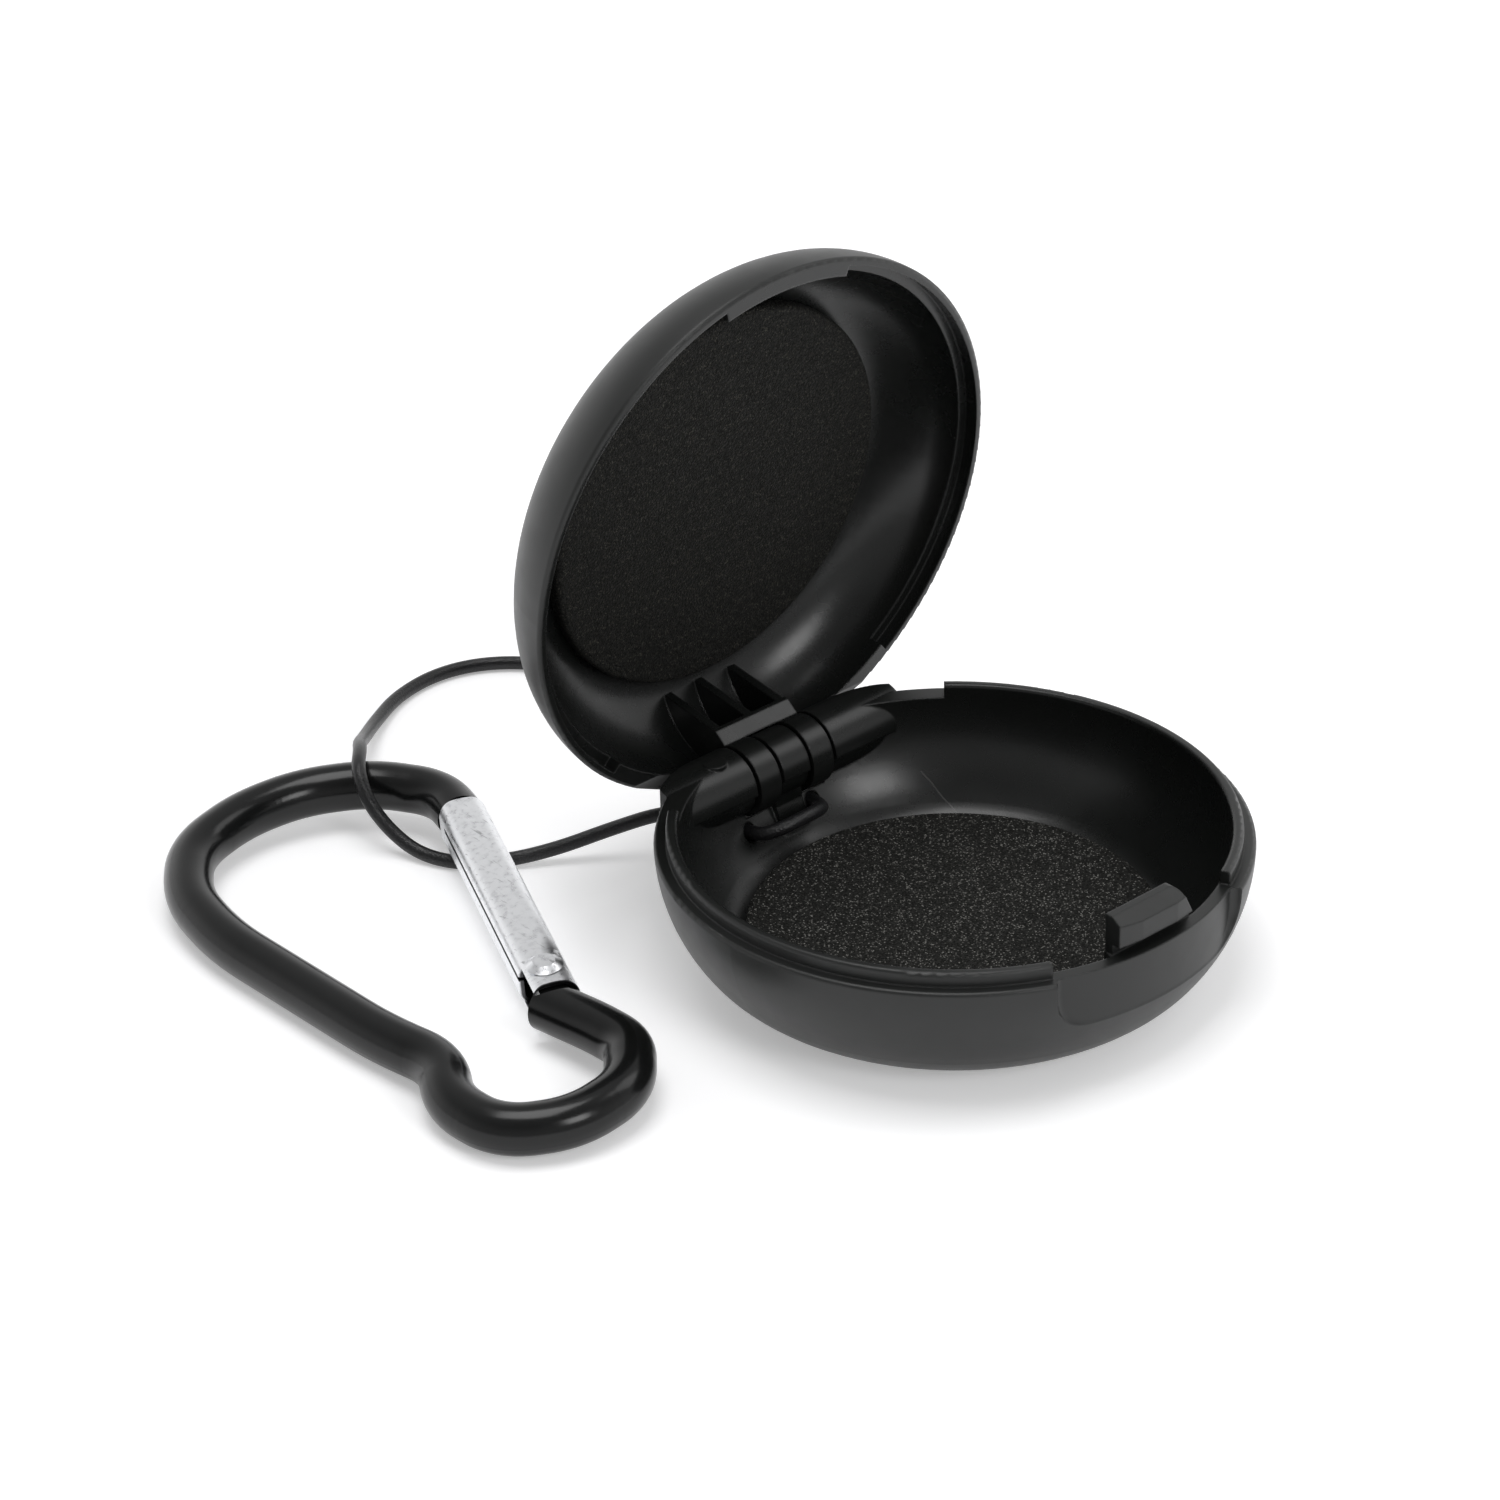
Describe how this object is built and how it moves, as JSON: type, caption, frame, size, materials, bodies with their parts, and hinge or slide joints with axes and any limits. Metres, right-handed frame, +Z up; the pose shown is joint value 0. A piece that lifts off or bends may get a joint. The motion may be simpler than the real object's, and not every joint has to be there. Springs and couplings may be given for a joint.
{
  "type": "earplug case",
  "caption": "Round pocket case with a hinged snap lid, foam pads inside and a cord loop with a small carabiner.",
  "frame": {"origin": "centre of the base's flat foot, on the surface it stands on", "axes": "+Z up out of the base, +Y to the hinge at the back, +X along the hinge pin to the right seen from the latch"},
  "size_m": [0.0892, 0.1104, 0.0674],
  "materials": {
    "shell": "fine matte grain",
    "foam": "soft foam",
    "steel": "plain steel",
    "anodised": "black anodised",
    "bare_metal": "bright bare metal",
    "cord": "thin woven cord"
  },
  "bodies": {
    "base": {"base_shell": "shell", "base_pad": "foam", "hinge_pin": "steel", "carabiner_frame": "anodised", "gate_rivet": "bare_metal", "cord": "cord", "cord_bight": "cord"},
    "lid": {"lid_shell": "shell", "lid_pad": "foam"},
    "gate": {"carabiner_gate": "bare_metal", "gate_spring": "steel"}
  },
  "joints": [
    {"name": "lid_hinge", "type": "hinge", "parent": "base", "child": "lid", "pos_m": [0, 0.0271, 0.0103], "axis": [1, 0, 0], "range_deg": [0, 82.16]},
    {"name": "gate_hinge", "type": "hinge", "parent": "base", "child": "gate", "pos_m": [-0.03773, 0.0189, 0.00364], "axis": [-0.0558, 0, 0.9984], "range_deg": [0, 25], "stiffness_Nm_per_rad": 0.004, "springref_deg": -20.05}
  ]
}
